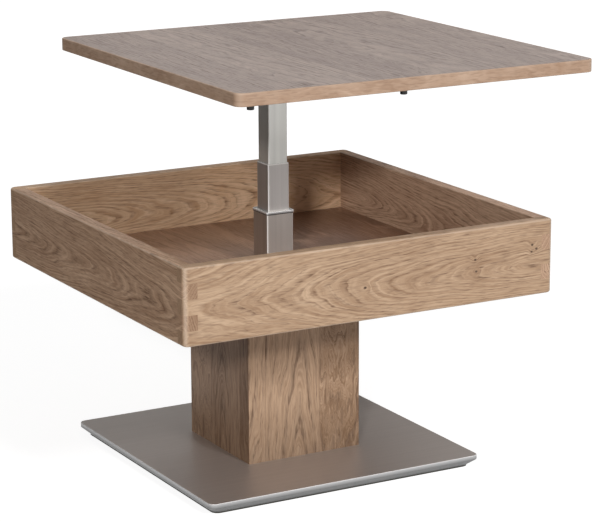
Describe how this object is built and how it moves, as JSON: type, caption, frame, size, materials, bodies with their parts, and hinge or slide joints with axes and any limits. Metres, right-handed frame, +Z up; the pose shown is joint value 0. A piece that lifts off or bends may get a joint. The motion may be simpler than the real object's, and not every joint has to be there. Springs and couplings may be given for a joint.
{
  "type": "lift top end table",
  "caption": "Square oak end table: tray on a pedestal with a steel foot plate, and a top that rises on a telescopic column and slides sideways",
  "frame": {"origin": "on the floor, under the axis of the column, in the middle of the base", "axes": "+Z up, -Y towards the front, +X the way the top slides out; the rest pose is raised, with the top slid out towards +X"},
  "size_m": [0.729, 0.65, 0.6655],
  "materials": {
    "felt": "pressed felt",
    "ballast": "rough cast, painted dark",
    "base_steel": "satin brushed stainless sheet",
    "fastener_steel": "bright zinc plating",
    "flange_steel": "black powder coat",
    "pedestal_oak": "oiled oak, upright grain",
    "tray_oak_wide": "oiled oak, grain from left to right",
    "tray_oak_deep": "oiled oak, grain from front to back",
    "floor_oak": "oiled oak, grain from left to right",
    "hidden_timber": "sawn softwood",
    "outer_tube_steel": "satin steel",
    "collar_steel": "polished",
    "mid_tube_steel": "satin steel",
    "inner_tube_steel": "satin steel",
    "guide_plastic": "moulded, self-lubricating",
    "spring_paint": "black paint",
    "rod_chrome": "hard chrome",
    "frame_paint": "black powder coat",
    "nut_black": "black oxide",
    "rail_aluminium": "extruded, mill finish",
    "grip_rubber": "dipped grip",
    "top_oak": "oiled oak, grain from front to back",
    "band_oak": "oak edge strip, grain along the edge"
  },
  "bodies": {
    "stand": {"felt_sole": "felt", "base_core": "ballast", "base_cover": "base_steel", "foot_flange": "flange_steel", "flange_bolts": "fastener_steel", "pedestal_front": "pedestal_oak", "pedestal_back": "pedestal_oak", "pedestal_left": "pedestal_oak", "pedestal_right": "pedestal_oak", "pedestal_foot_frame": "hidden_timber", "pedestal_corner_blocks": "hidden_timber", "pedestal_cap_plate": "hidden_timber", "cap_plate_screws": "fastener_steel", "tray_front": "tray_oak_wide", "tray_back": "tray_oak_wide", "tray_left": "tray_oak_deep", "tray_right": "tray_oak_deep", "tray_floor": "floor_oak", "outer_tube": "outer_tube_steel", "outer_collar": "collar_steel", "outer_guide_bush": "guide_plastic", "gas_spring_foot": "flange_steel", "gas_spring_cylinder": "spring_paint", "gas_spring_gland": "fastener_steel"},
    "middle_stage": {"mid_tube": "mid_tube_steel", "mid_glide_ring": "guide_plastic", "mid_guide_bush": "guide_plastic"},
    "lift": {"inner_tube": "inner_tube_steel", "inner_glide_ring": "guide_plastic", "head_block": "flange_steel", "head_screws": "fastener_steel", "gas_spring_rod": "rod_chrome", "gas_spring_piston": "fastener_steel", "frame_cross_plate": "frame_paint", "frame_front_bar": "frame_paint", "frame_back_bar": "frame_paint", "lever_tongue": "frame_paint", "glide_blocks": "guide_plastic", "glide_bolts": "fastener_steel", "cap_nuts": "nut_black", "lever_bracket": "frame_paint", "lever_pivot_pin": "fastener_steel", "lever_rest_pad": "grip_rubber"},
    "valve": {"valve_pin": "fastener_steel"},
    "lever": {"release_lever": "frame_paint", "lever_grip": "grip_rubber"},
    "top": {"top_panel": "top_oak", "top_edge_band": "band_oak", "slide_rails": "rail_aluminium", "rail_flanges": "rail_aluminium", "rail_screws": "fastener_steel", "rail_end_stops": "guide_plastic"}
  },
  "joints": [
    {"name": "top_lift", "type": "slide", "parent": "stand", "child": "lift", "axis": [0, 0, 1], "range_m": [-0.21, 0]},
    {"name": "middle_stage_slide", "type": "slide", "parent": "stand", "child": "middle_stage", "axis": [0, 0, 1], "range_m": [-0.0771, 0]},
    {"name": "top_slide", "type": "slide", "parent": "lift", "child": "top", "axis": [1, 0, 0], "range_m": [-0.087, 0]},
    {"name": "lever_turn", "type": "hinge", "parent": "lift", "child": "lever", "pos_m": [0.04, 0, 0.6315], "axis": [0, -1, 0], "range_deg": [0, 1.8], "stiffness_Nm_per_rad": 5, "springref_deg": -2.86},
    {"name": "valve_press", "type": "slide", "parent": "lift", "child": "valve", "axis": [0, 0, 1], "range_m": [-0.0013, 0]}
  ],
  "couplings": [
    {"joint": "middle_stage_slide", "follows": "top_lift", "ratio": 0.36667},
    {"joint": "valve_press", "follows": "lever_turn", "m_per_rad": -0.04}
  ]
}
